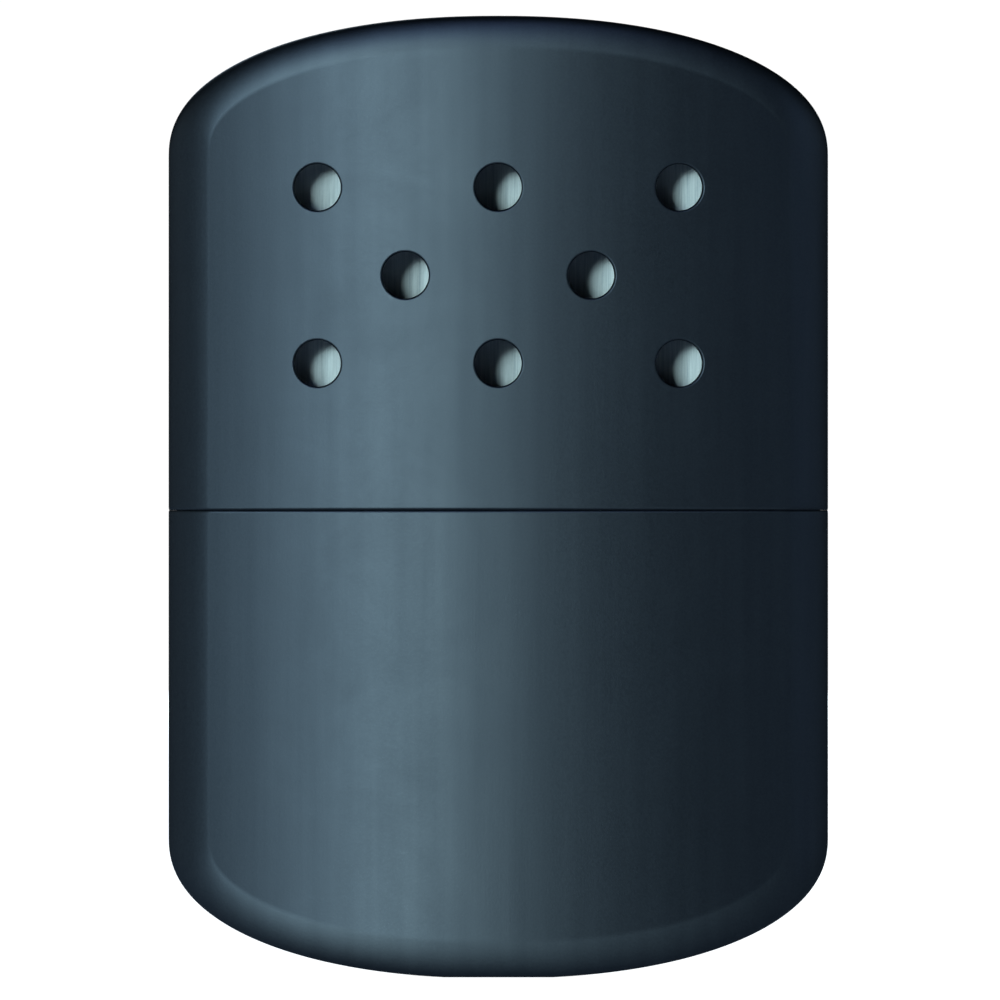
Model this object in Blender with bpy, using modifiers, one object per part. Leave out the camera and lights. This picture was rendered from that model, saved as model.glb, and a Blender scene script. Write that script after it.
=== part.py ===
"""Pocket catalytic hand warmer: a drawn tank with a pull-off lid and a plug-in burner.

Metres, +Z up. The case stands on its foot at the origin, with its pierced face towards -Y.
The tank, collar, deck, neck and wadding stay put. The lid and the burner slide up along Z.
"""

import math

import bmesh
import bpy

# Case
case_width = 0.0675
case_height = 0.0982
case_depth = 0.013
case_wall = 0.0006
seam_height = 0.0477  # middle of the seam between tank and lid
seam_gap = 0.0004
top_rise = 0.0142  # height of the lid's rounded end
foot_rise = 0.0142  # height of the tank's rounded end, were it not flattened into a foot
foot_length = 0.011  # flat stretch that the case stands on
foot_depth = 0.0104
top_depth = 0.0104  # flat depth at the middle of the top, between its rolled edges
face_radius = 0.106  # crown of the front and back faces, across the width
face_flat = 0.008  # flat strip down the middle of each face
edge_band = 0.0007  # flat half band left along the side edges, between the two rolled edges
roll_side = 0.0043  # how far the rolled edge reaches in from the side
roll_top = 0.0032
roll_foot = 0.0046
end_power = 2.2  # exponent of the rounded ends, where 2 would be an ellipse

# Air holes in the lid
air_bore = 0.00475
air_pitch_outer_rows = 0.0185
air_pitch_middle_row = 0.019
air_row_shares = (0.297, 0.475, 0.653)  # heights of the three rows, as shares of the lid's height

# Collar and deck
seat_gap = 0.0003  # gap between pieces that touch
sheet = 0.0005  # thin sheet of the inner pieces
collar_rise = 0.0048  # how far the collar stands above the seam
collar_seat = 0.006  # how far it reaches down into the tank
collar_lip = 0.0007  # turned-in lead at its top
deck_drop = 0.0035  # top of the deck below the seam

# Neck and wick
neck_reach = 0.006  # neck above its flange
neck_drop = 0.0055  # neck below the top of the deck
neck_flange = 0.0009
wick_drop = 0.0045  # top of the felt's screen below the neck's mouth
screen_bore = 0.0013
screen_pitch = 0.0027

# Wadding
wadding_lower_height = 0.013
wadding_middle_height = 0.014

# Burner
burner_length = 0.0356
burner_height = 0.0148
burner_air_gap = 0.001  # between the burner's ends and the lid's inside
bead_rise = 0.00025  # stiffening bead around the skirt
bead_height = 0.0035  # bead's middle above the skirt's foot
gauze_lap = 0.0008  # skirt above the gauze that it holds
gauze_bore = 0.0012
gauze_pitch = 0.00245
cage_corner = 0.0008
window_width = 0.0028
window_height = 0.0042
window_pitch = 0.0048
window_sill = 0.0013  # foot of the windows above the cage's foot
window_count = 6
top_slot_width = 0.0024
top_slot_length = 0.005
wire_diameter = 0.0005
wire_bend = 0.0009
wire_spacing = 0.0192
mat_fold = 0.002  # thickness of the mat above its core
core_sheet = 0.0003
core_end_margin = 0.0018  # mat beyond each end of its core

overrun = 0.002  # how far each cutter runs past what it cuts
merge_distance = 0.00001

# Steps of the curved shapes
end_steps = 16
roll_steps = 5
face_steps = 4
oblong_steps = 8
bore_steps = 28
small_bore_steps = 6
bend_steps = 4
wire_steps = 2
sharp_angle = math.radians(35)

# Heights worked out from the seam
lid_low = seam_height + seam_gap / 2
tank_high = seam_height - seam_gap / 2
collar_low = seam_height - collar_seat
collar_high = seam_height + collar_rise
deck_high = seam_height - deck_drop
deck_low = deck_high - sheet
flange_low = deck_high + seat_gap
flange_high = flange_low + sheet
neck_low = deck_high - neck_drop
neck_high = flange_high + neck_reach
screen_high = neck_high - wick_drop
screen_low = screen_high - sheet
wick_high = screen_low - seat_gap
skirt_low = flange_high + seat_gap
cage_high = skirt_low + burner_height
gauze_low = neck_high + seat_gap
gauze_high = gauze_low + sheet
skirt_high = gauze_high + gauze_lap
cage_low = skirt_high + seat_gap
mat_low = gauze_high + seat_gap
wire_high = cage_high - sheet - seat_gap - wire_diameter / 2
mat_high = wire_high - wire_diameter / 2 - seat_gap
core_high = mat_high - mat_fold - seat_gap

# Depths worked out from the face of the case
collar_outer = case_wall + seat_gap
collar_inner = collar_outer + sheet
wadding_inset = case_wall + seat_gap


def face_depth(x):
    """Half depth of the case's outer face at x"""
    past_flat = max(abs(x) - face_flat / 2, 0)
    return case_depth / 2 - past_flat ** 2 / (2 * face_radius)


roll_height = face_depth(case_width / 2) - edge_band
foot_roll_height = face_depth(0) - foot_depth / 2
top_roll_height = face_depth(0) - top_depth / 2
burner_half_length = burner_length / 2
burner_half_depth = face_depth(burner_half_length) - case_wall - burner_air_gap
neck_half_length = burner_half_length - sheet - seat_gap
neck_half_depth = burner_half_depth - sheet - seat_gap
wick_half_length = neck_half_length - sheet - seat_gap
wick_half_depth = neck_half_depth - sheet - seat_gap
wire_half_span = burner_half_depth - sheet - seat_gap - wire_diameter / 2
mat_half_depth = wire_half_span - wire_diameter / 2 - seat_gap
mat_half_length = burner_half_length - sheet - seat_gap


def new_collection(name):
    collection = bpy.data.collections.new(name)
    bpy.context.scene.collection.children.link(collection)
    return collection


def new_material(name, color, roughness, metallic):
    material = bpy.data.materials.new(name)
    material.use_nodes = True
    shader = material.node_tree.nodes["Principled BSDF"]
    shader.inputs["Base Color"].default_value = (*color, 1)
    shader.inputs["Roughness"].default_value = roughness
    shader.inputs["Metallic"].default_value = metallic
    return material


def new_object(name, data, collection, color=None, roughness=0.5, metallic=0):
    """Link data as an object, with a material of its own if it has a colour"""
    obj = bpy.data.objects.new(name, data)
    collection.objects.link(obj)
    if color:
        data.materials.append(new_material(name, color, roughness, metallic))
    return obj


def mesh_from(bm, name):
    """Turn a bmesh into a mesh, smooth but for its real edges"""
    bmesh.ops.recalc_face_normals(bm, faces=bm.faces)
    mesh = bpy.data.meshes.new(name)
    bm.to_mesh(mesh)
    bm.free()
    mesh.shade_smooth()
    mesh.set_sharp_from_angle(angle=sharp_angle)
    return mesh


def end_point(angle, rise):
    """Point and outward direction on a rounded end, angle measured from its middle"""
    half = case_width / 2
    across = max(math.sin(angle), 0) ** (2 / end_power)
    up = max(math.cos(angle), 0) ** (2 / end_power)
    slope_x = across ** (end_power - 1) / half
    slope_z = up ** (end_power - 1) / rise
    length = math.hypot(slope_x, slope_z)
    return half * across, rise * up, slope_x / length, slope_z / length


def half_outline():
    """Right half of the case's outline, foot to top: x, z, outward direction, roll reach and height"""
    foot_angle = math.asin((foot_length / case_width) ** (end_power / 2))
    foot_drop = end_point(foot_angle, foot_rise)[1]
    points = [(0, 0, 0, -1, roll_foot, foot_roll_height)]
    for step in range(end_steps + 1):
        angle = foot_angle + (math.pi / 2 - foot_angle) * step / end_steps
        x, up, out_x, out_z = end_point(angle, foot_rise)
        if step == 0:
            out_x, out_z = 0, 1
        reach = roll_side + (roll_foot - roll_side) * out_z ** 2
        height = roll_height + (foot_roll_height - roll_height) * out_z ** 2
        points.append((x, foot_drop - up, out_x, -out_z, reach, height))
    for step in range(end_steps, -1, -1):
        x, up, out_x, out_z = end_point(math.pi / 2 * step / end_steps, top_rise)
        reach = roll_side + (roll_top - roll_side) * out_z ** 2
        height = roll_height + (top_roll_height - roll_height) * out_z ** 2
        points.append((x, case_height - top_rise + up, out_x, out_z, reach, height))
    return points, foot_drop, case_height - top_rise


def stations(edge, spine_z, inset):
    """Points of the back surface from one point of the outline in to the spine, inset all round"""
    edge_x, edge_z, out_x, out_z, reach, height = edge
    points = [(edge_x - out_x * inset, 0, edge_z - out_z * inset)]
    for step in range(roll_steps + 1):
        angle = math.pi / 2 * step / roll_steps
        inward = reach - (reach - inset) * math.cos(angle)
        x = edge_x - out_x * inward
        depth = face_depth(x) - height + (height - inset) * math.sin(angle)
        points.append((x, depth, edge_z - out_z * inward))
    last_x, _, last_z = points[-1]
    flat_share = 1 - face_flat / 2 / (case_width / 2 - roll_side)
    for step in range(1, face_steps + 2):
        share = flat_share * step / face_steps if step <= face_steps else 1
        x = last_x * (1 - share)
        points.append((x, face_depth(x) - inset, last_z + (spine_z - last_z) * share))
    return points


def case_form(name, inset):
    """Quarter of the whole closed case, inset all round and mirrored across X and Y"""
    outline, spine_low, spine_high = half_outline()
    bm = bmesh.new()
    rows = []
    for edge in outline:
        spine_z = min(max(edge[1], spine_low), spine_high)
        rows.append([bm.verts.new(point) for point in stations(edge, spine_z, inset)])
    for lower, upper in zip(rows, rows[1:]):
        for step in range(len(lower) - 1):
            bm.faces.new((lower[step], lower[step + 1], upper[step + 1], upper[step]))
    bmesh.ops.remove_doubles(bm, verts=bm.verts, dist=merge_distance)
    mesh = bpy.data.meshes.new(name)
    bm.to_mesh(mesh)
    bm.free()
    mesh.shade_smooth()
    mesh.set_sharp_from_angle(angle=sharp_angle)
    return mesh


def mirror(obj):
    modifier = obj.modifiers.new("Mirror", "MIRROR")
    modifier.use_axis = (True, True, False)
    modifier.use_clip = True
    modifier.merge_threshold = merge_distance


def cut(obj, cutter, operation="DIFFERENCE"):
    modifier = obj.modifiers.new(cutter.name, "BOOLEAN")
    modifier.operation = operation
    modifier.solver = "EXACT"
    modifier.object = cutter


def as_cutter(obj):
    obj.hide_render = True
    obj.display_type = "WIRE"
    return obj


def box_cutter(name, size, center, cutters):
    bm = bmesh.new()
    bmesh.ops.create_cube(bm, size=1)
    bmesh.ops.scale(bm, vec=size, verts=bm.verts)
    bmesh.ops.translate(bm, vec=center, verts=bm.verts)
    return as_cutter(new_object(name, mesh_from(bm, name), cutters))


def level_cutter(name, low, high, cutters):
    """Box across the whole case between two heights"""
    size = (case_width + 2 * overrun, case_depth + 2 * overrun, high - low)
    return box_cutter(name, size, (0, 0, (low + high) / 2), cutters)


def oblong(half_length, half_depth):
    """Outline with round ends, anticlockwise seen from above"""
    straight = half_length - half_depth
    points = []
    for side in (1, -1):
        for step in range(oblong_steps + 1):
            angle = math.pi * (step / oblong_steps - 0.5)
            x = side * (straight + half_depth * math.cos(angle))
            points.append((x, side * half_depth * math.sin(angle)))
    return points


def neck_outline(offset):
    return oblong(neck_half_length + offset, neck_half_depth + offset)


def burner_outline(offset):
    return oblong(burner_half_length + offset, burner_half_depth + offset)


def mat_outline(offset):
    return oblong(mat_half_length + offset, mat_half_depth + offset)


def case_section(inset):
    """Level section of the straight part of the case, inset all round, anticlockwise"""
    edge = (case_width / 2, 0, 1, 0, roll_side, roll_height)
    quarter = [(x, y) for x, y, _ in stations(edge, 0, inset)[1:-1]]
    back = quarter + [(-x, y) for x, y in reversed(quarter)]
    return back + [(-x, -y) for x, y in back]


def circle(x, y, diameter, steps):
    points = []
    for step in range(steps):
        angle = 2 * math.pi * step / steps
        points.append((x + diameter / 2 * math.cos(angle), y + diameter / 2 * math.sin(angle)))
    return points


def lofted(name, loop_at, profile, closed=True):
    """Stack one outline at each (offset, height) of a profile, as a ring or as a capped cup"""
    bm = bmesh.new()
    loops = []
    for offset, height in profile:
        loops.append([bm.verts.new((x, y, height)) for x, y in loop_at(offset)])
    pairs = list(zip(loops, loops[1:]))
    if closed:
        pairs.append((loops[-1], loops[0]))
    for first, second in pairs:
        for step in range(len(first)):
            after = (step + 1) % len(first)
            bm.faces.new((first[step], first[after], second[after], second[step]))
    if not closed:
        bm.faces.new(reversed(loops[0]))
        bm.faces.new(loops[-1])
    return mesh_from(bm, name)


def plate(name, outlines, low, high, collection, color, roughness, metallic):
    """Flat sheet with holes: the first outline is its edge, the others its holes"""
    curve = bpy.data.curves.new(name, "CURVE")
    curve.dimensions = "2D"
    curve.fill_mode = "BOTH"
    curve.extrude = (high - low) / 2
    for outline in outlines:
        spline = curve.splines.new("POLY")
        spline.points.add(len(outline) - 1)
        for point, (x, y) in zip(spline.points, outline):
            point.co = (x, y, 0, 1)
        spline.use_cyclic_u = True
    obj = new_object(name, curve, collection, color, roughness, metallic)
    obj.location.z = (low + high) / 2
    return obj


def spread(count, pitch):
    """Evenly spaced places about the middle"""
    return [(step - (count - 1) / 2) * pitch for step in range(count)]


def air_hole_cutters(cutters):
    """Eight bores through the lid's face only, in rows of three, two and three"""
    made = []
    lid_height = case_height - seam_height
    for row, share in enumerate(air_row_shares):
        count, pitch = (2, air_pitch_middle_row) if row == 1 else (3, air_pitch_outer_rows)
        for column, x in enumerate(spread(count, pitch)):
            bm = bmesh.new()
            radius = air_bore / 2
            bmesh.ops.create_cone(
                bm, cap_ends=True, segments=bore_steps, radius1=radius, radius2=radius, depth=case_depth / 2
            )
            name = f"air_hole_{row + 1}_{column + 1}"
            hole = as_cutter(new_object(name, mesh_from(bm, name), cutters))
            hole.rotation_euler.x = math.radians(90)
            hole.location = (x, -case_depth / 2, seam_height + share * lid_height)
            made.append(hole)
    return made


paint = dict(color=(0.035, 0.045, 0.056), roughness=0.42, metallic=0.3)
bare_steel = dict(color=(0.60, 0.62, 0.64), roughness=0.3, metallic=1)
burner_steel = dict(color=(0.66, 0.66, 0.65), roughness=0.24, metallic=1)
cotton = dict(color=(0.84, 0.82, 0.76), roughness=0.95, metallic=0)
felt = dict(color=(0.72, 0.69, 0.61), roughness=0.95, metallic=0)
glass_fibre = dict(color=(0.62, 0.62, 0.60), roughness=0.9, metallic=0)


def make_case(parts, cutters):
    """Tank and lid: one drawn form, hollowed and parted at the seam"""
    outer = case_form("case_form", 0)
    hollow = as_cutter(new_object("case_hollow", case_form("case_hollow", case_wall), cutters))
    mirror(hollow)
    above_tank = level_cutter("above_tank", tank_high, case_height + overrun, cutters)
    below_lid = level_cutter("below_lid", -overrun, lid_low, cutters)
    tank = new_object("tank_shell", outer.copy(), parts, **paint)
    lid = new_object("lid_shell", outer.copy(), parts, **paint)
    bpy.data.meshes.remove(outer)
    for shell, waste in ((tank, above_tank), (lid, below_lid)):
        mirror(shell)
        cut(shell, waste)
        cut(shell, hollow)
    for hole in air_hole_cutters(cutters):
        cut(lid, hole)
    return tank, lid


def make_collar(parts):
    """Band seated inside the tank's mouth, turned in at its top to lead the lid on"""
    profile = [
        (-collar_outer, collar_low),
        (-collar_outer, collar_high - collar_lip),
        (-collar_outer - collar_lip / 2, collar_high),
        (-collar_inner - collar_lip / 2, collar_high),
        (-collar_inner, collar_high - collar_lip),
        (-collar_inner, collar_low),
    ]
    mesh = lofted("collar_band", lambda offset: case_section(-offset), profile)
    return new_object("collar_band", mesh, parts, **bare_steel)


def make_deck(parts):
    """Plate across the collar, with an oblong hole for the neck"""
    edge = case_section(collar_inner + seat_gap)
    hole = neck_outline(seat_gap)
    return plate("tank_deck", [edge, hole], deck_low, deck_high, parts, **bare_steel)


def make_neck(parts):
    """Oblong neck with a flange that rests on the deck"""
    profile = [
        (0, neck_low),
        (0, flange_low),
        (neck_flange, flange_low),
        (neck_flange, flange_high),
        (0, flange_high),
        (0, neck_high),
        (-sheet, neck_high),
        (-sheet, neck_low),
    ]
    mesh = lofted("filler_neck", neck_outline, profile)
    return new_object("filler_neck", mesh, parts, **bare_steel)


def bore_grid(half_length, rows, pitch, bore):
    """Round holes in rows, each row as long as the plate allows"""
    count = int((half_length - bore) / pitch) * 2
    holes = []
    for y in rows:
        for x in spread(count, pitch):
            holes.append(circle(x, y, bore, small_bore_steps))
    return holes


def make_wick(parts):
    """Felt pad in the neck, kept down by a pierced strip"""
    edge = oblong(wick_half_length, wick_half_depth)
    wick = plate("neck_wick", [edge], neck_low, wick_high, parts, **felt)
    rows = (-wick_half_depth / 2, wick_half_depth / 2)
    holes = bore_grid(wick_half_length, rows, screen_pitch, screen_bore)
    screen = plate("wick_screen", [edge, *holes], screen_low, screen_high, parts, **bare_steel)
    return wick, screen


def make_wadding(parts, cutters):
    """Three batts of cotton that fill the tank up to the collar, the top one pocketed for the neck"""
    lower_high = wadding_inset + wadding_lower_height
    middle_high = lower_high + seat_gap + wadding_middle_height
    upper_high = collar_low - seat_gap
    levels = {
        "wadding_lower": (-overrun, lower_high),
        "wadding_middle": (lower_high + seat_gap, middle_high),
        "wadding_upper": (middle_high + seat_gap, upper_high),
    }
    form = case_form("wadding_form", wadding_inset)
    batts = []
    for name, (low, high) in levels.items():
        batt = new_object(name, form.copy(), parts, **cotton)
        mirror(batt)
        cut(batt, level_cutter(f"{name}_slice", low, high, cutters), "INTERSECT")
        batts.append(batt)
    bpy.data.meshes.remove(form)
    profile = [(seat_gap, neck_low - seat_gap), (seat_gap, upper_high + overrun)]
    mesh = lofted("neck_pocket", neck_outline, profile, closed=False)
    cut(batts[-1], as_cutter(new_object("neck_pocket", mesh, cutters)))
    return batts


def make_skirt(parts):
    """Sleeve that plugs over the neck, stiffened by a bead pressed outwards"""
    bead = skirt_low + bead_height
    outside = [
        (0, skirt_low),
        (0, bead - sheet),
        (bead_rise, bead - sheet / 2),
        (bead_rise, bead + sheet / 2),
        (0, bead + sheet),
        (0, skirt_high),
    ]
    inside = [(offset - sheet, height) for offset, height in reversed(outside)]
    mesh = lofted("burner_skirt", burner_outline, outside + inside)
    return new_object("burner_skirt", mesh, parts, **burner_steel)


def make_gauze(parts):
    """Pierced floor of the burner, held in the top of the skirt"""
    edge = burner_outline(-sheet - seat_gap)
    rows = spread(2, burner_half_depth - sheet - seat_gap)
    holes = bore_grid(burner_half_length - sheet - seat_gap - gauze_bore, rows, gauze_pitch, gauze_bore)
    return plate("burner_gauze", [edge, *holes], gauze_low, gauze_high, parts, **burner_steel)


def slot_cutter(name, width, length, depth, cutters):
    """Round-ended slot, long in Y and cut along Z, made about its own middle"""
    outline = [(-y, x) for x, y in oblong(length / 2, width / 2)]
    profile = [(0, -depth / 2), (0, depth / 2)]
    mesh = lofted(name, lambda offset: outline, profile, closed=False)
    return as_cutter(new_object(name, mesh, cutters))


def make_cage(parts, cutters):
    """Slotted cover over the mat, open below"""
    corner_middle_share = 1 - math.sqrt(0.5)
    inner_corner = max(cage_corner - sheet, seat_gap)
    roof = cage_high - sheet
    profile = [
        (-sheet - inner_corner, roof),
        (-sheet, roof - inner_corner),
        (-sheet, cage_low),
        (0, cage_low),
        (0, cage_high - cage_corner),
        (-cage_corner * corner_middle_share, cage_high - cage_corner * corner_middle_share),
        (-cage_corner, cage_high),
    ]
    mesh = lofted("burner_cage", burner_outline, profile, closed=False)
    cage = new_object("burner_cage", mesh, parts, **burner_steel)
    for index, x in enumerate(spread(window_count, window_pitch)):
        depth = 2 * (burner_half_depth + overrun)
        window = slot_cutter(f"window_{index + 1}", window_width, window_height, depth, cutters)
        window.rotation_euler.x = math.radians(90)
        window.location = (x, 0, cage_low + window_sill + window_height / 2)
        cut(cage, window)
    for index, x in enumerate(spread(window_count, window_pitch)):
        depth = sheet + 2 * overrun
        slot = slot_cutter(f"top_slot_{index + 1}", top_slot_width, top_slot_length, depth, cutters)
        slot.location = (x, 0, cage_high - sheet / 2)
        cut(cage, slot)
    return cage


def make_mat(parts, cutters):
    """Glass-fibre mat folded over a pierced core strip"""
    profile = [(0, mat_low), (0, mat_high)]
    mesh = lofted("catalyst_mat", mat_outline, profile, closed=False)
    mat = new_object("catalyst_mat", mesh, parts, **glass_fibre)
    core_half_length = mat_half_length - mat_half_depth - core_end_margin
    slot_low = mat_low - overrun
    slot_high = core_high + seat_gap
    slot_size = (2 * (core_half_length + seat_gap), core_sheet + 2 * seat_gap, slot_high - slot_low)
    cut(mat, box_cutter("core_slot", slot_size, (0, 0, (slot_low + slot_high) / 2), cutters))
    core_half_height = (core_high - mat_low) / 2
    corners = (1, 1), (-1, 1), (-1, -1), (1, -1)
    edge = [(core_half_length * x, core_half_height * y) for x, y in corners]
    holes = bore_grid(core_half_length, (0,), screen_pitch, screen_bore)
    core = plate("mat_core", [edge, *holes], -core_sheet / 2, core_sheet / 2, parts, **burner_steel)
    core.rotation_euler.x = math.radians(90)
    core.location.z = mat_low + core_half_height
    return mat, core


def wire_path():
    """Staple with rounded corners: up one side of the mat, across its top and down the other"""
    half = wire_half_span
    path = [(-half, mat_low)]
    for side in (-1, 1):
        for step in range(bend_steps + 1):
            angle = math.pi / 2 * step / bend_steps
            turn = angle if side < 0 else math.pi / 2 - angle
            y = side * (half - wire_bend + wire_bend * math.cos(turn))
            path.append((y, wire_high - wire_bend + wire_bend * math.sin(turn)))
    path.append((half, mat_low))
    return path


def make_wires(parts):
    """Two wire staples that hold the mat down on the gauze"""
    wires = []
    for name, x in zip(("mat_wire_left", "mat_wire_right"), spread(2, wire_spacing)):
        curve = bpy.data.curves.new(name, "CURVE")
        curve.dimensions = "3D"
        curve.bevel_depth = wire_diameter / 2
        curve.bevel_resolution = wire_steps
        curve.use_fill_caps = True
        path = wire_path()
        spline = curve.splines.new("POLY")
        spline.points.add(len(path) - 1)
        for point, (y, z) in zip(spline.points, path):
            point.co = (0, y, z, 1)
        wire = new_object(name, curve, parts, **burner_steel)
        wire.location.x = x
        wires.append(wire)
    return wires


def carry(name, height, pieces, collection):
    """Empty on the slide's axis that carries a moving body"""
    empty = bpy.data.objects.new(name, None)
    empty.location.z = height
    empty.empty_display_size = case_depth
    collection.objects.link(empty)
    bpy.context.view_layer.update()
    for piece in pieces:
        piece.parent = empty
        piece.matrix_parent_inverse = empty.matrix_world.inverted()


def main():
    for obj in list(bpy.data.objects):
        bpy.data.objects.remove(obj)
    parts = new_collection("hand_warmer")
    cutters = new_collection("cutters")
    tank, lid = make_case(parts, cutters)
    make_collar(parts)
    make_deck(parts)
    make_neck(parts)
    make_wick(parts)
    make_wadding(parts, cutters)
    burner = [make_skirt(parts), make_gauze(parts), make_cage(parts, cutters)]
    burner += make_mat(parts, cutters)
    burner += make_wires(parts)
    carry("lid_lift", lid_low, [lid], parts)
    carry("burner_lift", skirt_low, burner, parts)


main()
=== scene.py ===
import math
import random

import bmesh
import bpy
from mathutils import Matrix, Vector, noise
from mathutils.bvhtree import BVHTree


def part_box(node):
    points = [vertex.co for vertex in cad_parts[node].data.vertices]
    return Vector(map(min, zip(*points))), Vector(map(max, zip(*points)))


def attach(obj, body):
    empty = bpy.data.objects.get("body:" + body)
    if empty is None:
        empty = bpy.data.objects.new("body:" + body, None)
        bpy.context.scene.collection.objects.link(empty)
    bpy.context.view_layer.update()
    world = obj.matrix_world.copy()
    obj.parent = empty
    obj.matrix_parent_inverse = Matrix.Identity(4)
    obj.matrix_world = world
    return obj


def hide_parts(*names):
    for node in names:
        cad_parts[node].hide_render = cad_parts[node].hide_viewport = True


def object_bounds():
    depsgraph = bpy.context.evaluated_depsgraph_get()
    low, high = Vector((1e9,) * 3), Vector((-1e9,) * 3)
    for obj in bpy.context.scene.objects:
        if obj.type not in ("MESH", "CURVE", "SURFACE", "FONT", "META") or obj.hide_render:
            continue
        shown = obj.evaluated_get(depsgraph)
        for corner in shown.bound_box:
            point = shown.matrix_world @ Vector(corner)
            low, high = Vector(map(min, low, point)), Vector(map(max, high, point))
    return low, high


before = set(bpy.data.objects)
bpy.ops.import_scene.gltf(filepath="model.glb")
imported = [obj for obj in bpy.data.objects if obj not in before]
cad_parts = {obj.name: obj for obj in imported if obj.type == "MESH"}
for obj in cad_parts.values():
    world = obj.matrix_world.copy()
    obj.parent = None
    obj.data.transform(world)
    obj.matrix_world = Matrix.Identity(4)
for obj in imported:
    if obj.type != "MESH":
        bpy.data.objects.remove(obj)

cadLow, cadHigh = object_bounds()
random.seed(7)

halfWidth = (cadHigh.x - cadLow.x) / 2
halfDepth = (cadHigh.y - cadLow.y) / 2
caseTop = cadHigh.z
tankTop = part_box("tank_shell")[1].z
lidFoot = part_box("lid_shell")[0].z
seamHeight = (tankTop + lidFoot) / 2
um = 1e-6

case = {
    "topRise": 0.0142,      # height of the lid's rounded end
    "footRise": 0.0142,
    "footLength": 0.011,    # flat stretch that the case stands on
    "footDepth": 0.0112,
    "topDepth": 0.0104,
    "endPower": 2.2,        # rounded ends, where 2 would be an ellipse
    "crown": 0.136,         # radius of the two faces across the width
    "shadedCrown": 0.081,   # radius that their shading follows
    "sideBand": 0.0007,     # half of the narrow band along the side edges
    "sideRoll": 0.0043,     # how far the rolled edge reaches in
    "topRoll": 0.0035,
    "footRoll": 0.004,
    "sidePower": 1.3,       # shape of the roll, where 2 is round and 1 a flat bevel
    "rollPower": 2.2,
    "wall": 0.0006,
    "seamGap": 0.000004,
    "lip": 0.0003,          # height and depth of the rounding at the seam
    "lipInset": 0.0002,
    "lipAtSide": 0.4,       # share of that depth along the side edges
    "lipSteps": 6,
    "endSteps": 44,
    "sideStep": 0.0012,
    "rollSteps": 14,
    "faceSteps": 26,
}

airHoles = {
    "bore": 0.00475,
    "rim": 0.00024,         # rounding of each bore's edge
    "outerPitch": 0.0185,
    "middlePitch": 0.019,
    "rowShares": (0.297, 0.475, 0.653),
    "steps": 56,
    "rimSteps": 6,
}


# Small helpers for meshes

def linked(name, data):
    thing = bpy.data.objects.new(name, data)
    bpy.context.scene.collection.objects.link(thing)
    return thing


def carve(piece, cutter):
    cut = piece.modifiers.new(cutter.name, "BOOLEAN")
    cut.operation = "DIFFERENCE"
    cut.solver = "EXACT"
    cut.object = cutter


def quarterTurn(steps):
    return [math.pi / 2 * i / steps for i in range(steps + 1)]


def makeObject(name, mesh, material, body, slot, node, bevel=0, keepFlat=35):
    # a piece with its finish, the body it rides on and the plain solid that it stands for
    mesh.materials.append(material)
    piece = linked(name, mesh)
    mesh.shade_smooth()
    mesh.set_sharp_from_angle(angle=math.radians(keepFlat))
    if bevel:
        rounding = piece.modifiers.new("Rounding", "BEVEL")
        rounding.width = bevel
        rounding.segments = 2
        rounding.limit_method = "ANGLE"
        rounding.angle_limit = math.radians(keepFlat)
        weighted = piece.modifiers.new("Weighted", "WEIGHTED_NORMAL")
        weighted.keep_sharp = False
    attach(piece, body)
    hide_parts(node)
    return piece


def toMesh(bm, name):
    mesh = bpy.data.meshes.new(name)
    bm.to_mesh(mesh)
    bm.free()
    return mesh


def finishMesh(bm, name):
    bmesh.ops.remove_doubles(bm, verts=bm.verts, dist=um)
    bmesh.ops.recalc_face_normals(bm, faces=bm.faces)
    return toMesh(bm, name)


def finishPiece(bm, name, *rest, **more):
    makeObject(name, finishMesh(bm, name), *rest, **more)


def settled(piece):
    # the mesh that a piece's modifiers give
    bpy.context.view_layer.update()
    graph = bpy.context.evaluated_depsgraph_get()
    mesh = bpy.data.meshes.new_from_object(piece.evaluated_get(graph))
    bpy.data.objects.remove(piece)
    return mesh


def loft(bm, rings, closed=False, capped=False):
    # skins a row of rings that hold as many points each
    rows = [[bm.verts.new(point) for point in ring] for ring in rings]
    pairs = list(zip(rows, rows[1:]))
    if closed:
        pairs.append((rows[-1], rows[0]))
    for first, second in pairs:
        for i in range(len(first)):
            j = (i + 1) % len(first)
            bm.faces.new((first[i], first[j], second[j], second[i]))
    if capped:
        bm.faces.new(reversed(rows[0]))
        bm.faces.new(rows[-1])


def tube(bm, points, radius, sides=8, tip=0.5):
    # a wire along its points, with slightly rounded ends
    points = [Vector(p) for p in points]
    side = None
    rings = []
    for i, point in enumerate(points):
        ahead = points[min(i + 1, len(points) - 1)] - points[max(i - 1, 0)]
        ahead.normalize()
        if side is None:
            side = ahead.orthogonal().normalized()
        side = (side - ahead * side.dot(ahead)).normalized()
        other = ahead.cross(side)
        ring = []
        for k in range(sides):
            angle = 2 * math.pi * k / sides
            ring.append(point + (side * math.cos(angle) + other * math.sin(angle)) * radius)
        if i == 0:
            rings.append([point + (p - point) * tip - ahead * radius * tip for p in ring])
        rings.append(ring)
        if i == len(points) - 1:
            rings.append([point + (p - point) * tip + ahead * radius * tip for p in ring])
    loft(bm, rings, capped=True)


def roundCorners(corners, radius, steps=4):
    # a closed outline of (a, b) pairs with its corners rounded
    rounded = []
    count = len(corners)
    for i, corner in enumerate(corners):
        here = Vector(corner)
        before = Vector(corners[i - 1]) - here
        after = Vector(corners[(i + 1) % count]) - here
        reach = min(radius, before.length * 0.45, after.length * 0.45)
        start = here + before.normalized() * reach
        end = here + after.normalized() * reach
        for step in range(steps + 1):
            t = step / steps
            rounded.append(start * (1 - t) ** 2 + here * 2 * t * (1 - t) + end * t ** 2)
    return [(p.x, p.y) for p in rounded]


def spread(count, pitch):
    return [(i - (count - 1) / 2) * pitch for i in range(count)]


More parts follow.
